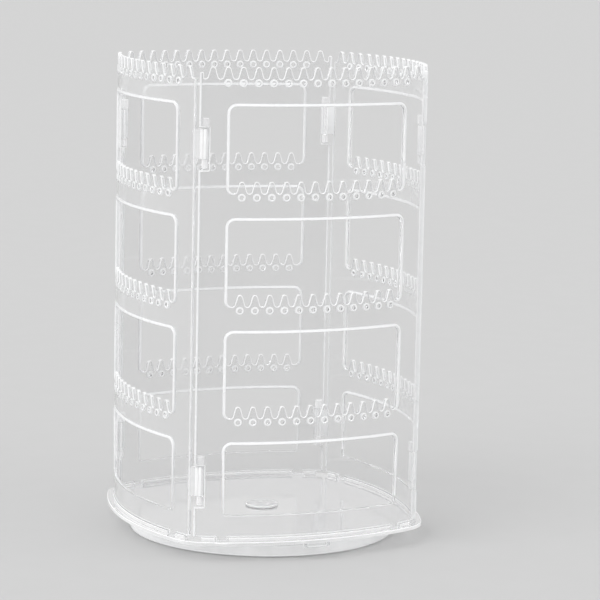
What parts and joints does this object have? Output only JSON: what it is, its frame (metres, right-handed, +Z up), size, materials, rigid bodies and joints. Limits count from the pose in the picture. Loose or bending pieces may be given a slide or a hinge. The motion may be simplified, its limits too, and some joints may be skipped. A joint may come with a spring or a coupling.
{
  "type": "rotating earring stand",
  "caption": "Clear four-sided earring tower with tiers of hook teeth and holes on bowed, corner-hinged panels, standing in a tray that turns on a round base.",
  "frame": {"origin": "on the turntable's spin axis at table level", "axes": "+Z up along the spin axis; the front panel, above the tray's grip loop, faces -Y; +X to the right of the front"},
  "size_m": [0.1634, 0.1634, 0.2592],
  "materials": {
    "clear_panel": "polished clear polystyrene",
    "clear_tray": "polished clear polystyrene",
    "clear_base": "polished clear polystyrene",
    "pad": "soft translucent pad"
  },
  "bodies": {
    "base": {"base_dish": "clear_base", "foot_pad_1": "pad", "foot_pad_2": "pad", "foot_pad_3": "pad", "foot_pad_4": "pad", "pivot_cap": "clear_base"},
    "turntable": {"turntable_tray": "clear_tray"},
    "panel_ring": {"panel_front": "clear_panel", "panel_right": "clear_panel", "panel_back": "clear_panel", "panel_left": "clear_panel"}
  },
  "joints": [
    {"name": "turntable_spin", "type": "hinge", "parent": "base", "child": "turntable", "pos_m": [0, 0, 0], "axis": [0, 0, 1], "continuous": true},
    {"name": "panel_ring_lift", "type": "slide", "parent": "turntable", "child": "panel_ring", "axis": [0, 0, 1], "range_m": [0, 0.03]}
  ]
}
